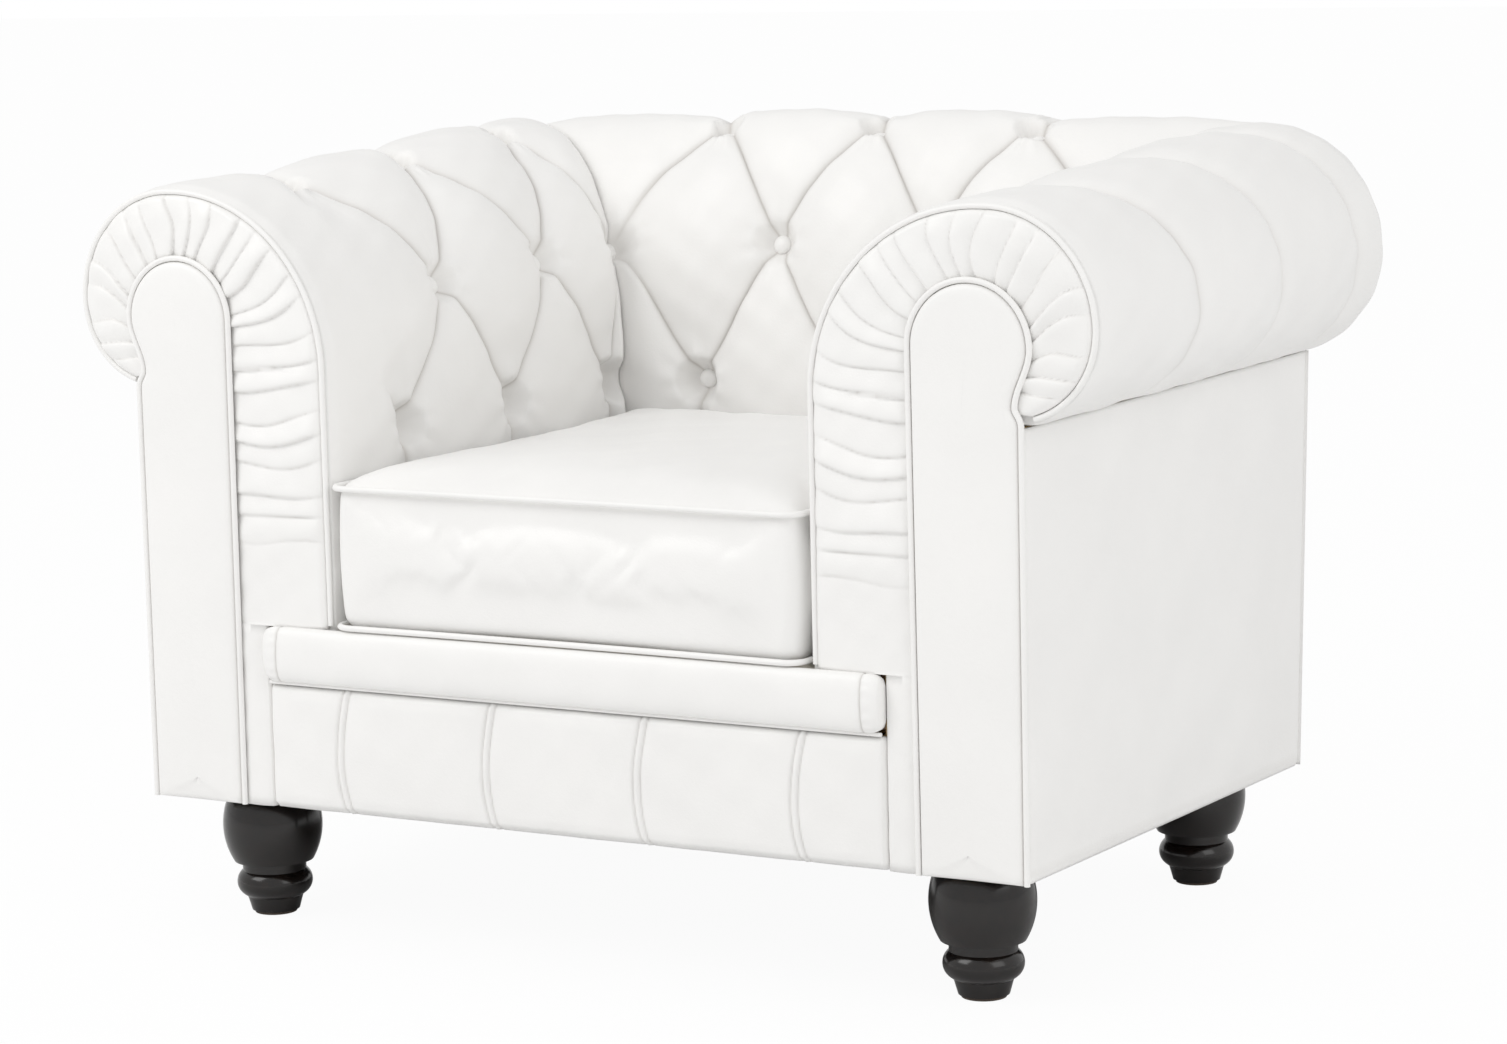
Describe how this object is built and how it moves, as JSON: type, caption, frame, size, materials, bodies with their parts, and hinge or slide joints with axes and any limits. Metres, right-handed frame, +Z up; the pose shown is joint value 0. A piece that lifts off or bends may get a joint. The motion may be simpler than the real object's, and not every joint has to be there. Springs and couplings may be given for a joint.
{
  "type": "chesterfield armchair",
  "caption": "Low club armchair with rolled arms and back at one height, deep diamond buttoning, a loose box cushion and turned feet.",
  "frame": {"origin": "on the floor, under the centre of the chair's bounding box", "axes": "+Z up, the front of the chair towards -Y, +X to the sitter's left, which is the width and the longest extent"},
  "size_m": [1.113, 0.803, 0.778],
  "materials": {
    "leatherette": "satin off-white leatherette with a fine grain",
    "frame_hardwood": "planed beech, unfinished",
    "plywood": "sawn birch plywood",
    "hardboard": "pressed hardboard",
    "foot_lacquer": "turned hardwood in dark brown satin lacquer",
    "zinc_steel": "zinc plated",
    "spring_steel": "oiled spring wire",
    "hessian": "plain woven jute",
    "webbing": "woven elastic webbing",
    "foam": "upholstery foam under wadding",
    "dust_cloth": "black spunbond cloth",
    "felt_glide": "pressed felt",
    "zip_tape": "woven tape with coil teeth"
  },
  "bodies": {
    "frame": {"arm_buttons_left": "leatherette", "arm_buttons_right": "leatherette", "arm_front_board_left": "plywood", "arm_front_board_right": "plywood", "arm_liner_left": "hardboard", "arm_liner_right": "hardboard", "arm_pad_left": "leatherette", "arm_pad_right": "leatherette", "arm_rear_board_left": "plywood", "arm_rear_board_right": "plywood", "arm_tack_rail_left": "frame_hardwood", "arm_tack_rail_right": "frame_hardwood", "arm_top_rail_left": "frame_hardwood", "arm_top_rail_right": "frame_hardwood", "arm_under_rail_left": "frame_hardwood", "arm_under_rail_right": "frame_hardwood", "back_buttons": "leatherette", "back_cross_rails": "frame_hardwood", "back_pad": "leatherette", "back_post_left": "frame_hardwood", "back_post_right": "frame_hardwood", "back_rail": "frame_hardwood", "back_top_rail": "frame_hardwood", "back_webbing": "webbing", "corner_blocks": "frame_hardwood", "deck_pad": "foam", "dust_cover": "dust_cloth", "facing_left": "leatherette", "facing_right": "leatherette", "facing_welt_left": "leatherette", "facing_welt_right": "leatherette", "foot_bolts": "zinc_steel", "foot_front_left": "foot_lacquer", "foot_front_right": "foot_lacquer", "foot_glides": "felt_glide", "foot_rear_left": "foot_lacquer", "foot_rear_right": "foot_lacquer", "front_border": "leatherette", "front_rail": "frame_hardwood", "front_roll": "leatherette", "outside_arm_left": "leatherette", "outside_arm_right": "leatherette", "outside_back": "leatherette", "pleated_band_left": "leatherette", "pleated_band_right": "leatherette", "roll_welt": "leatherette", "scroll_welt_left": "leatherette", "scroll_welt_right": "leatherette", "seat_hessian": "hessian", "seat_springs": "spring_steel", "side_rail_left": "frame_hardwood", "side_rail_right": "frame_hardwood", "spring_clips": "zinc_steel", "tee_nuts": "zinc_steel"},
    "cushion": {"cushion_core": "foam", "cushion_top_panel": "leatherette", "cushion_bottom_panel": "leatherette", "cushion_boxing": "leatherette", "cushion_zip": "zip_tape", "cushion_piping": "leatherette"}
  },
  "joints": [
    {"name": "cushion_lift", "type": "slide", "parent": "frame", "child": "cushion", "axis": [0, 0, 1], "range_m": [0, 0.5]}
  ]
}
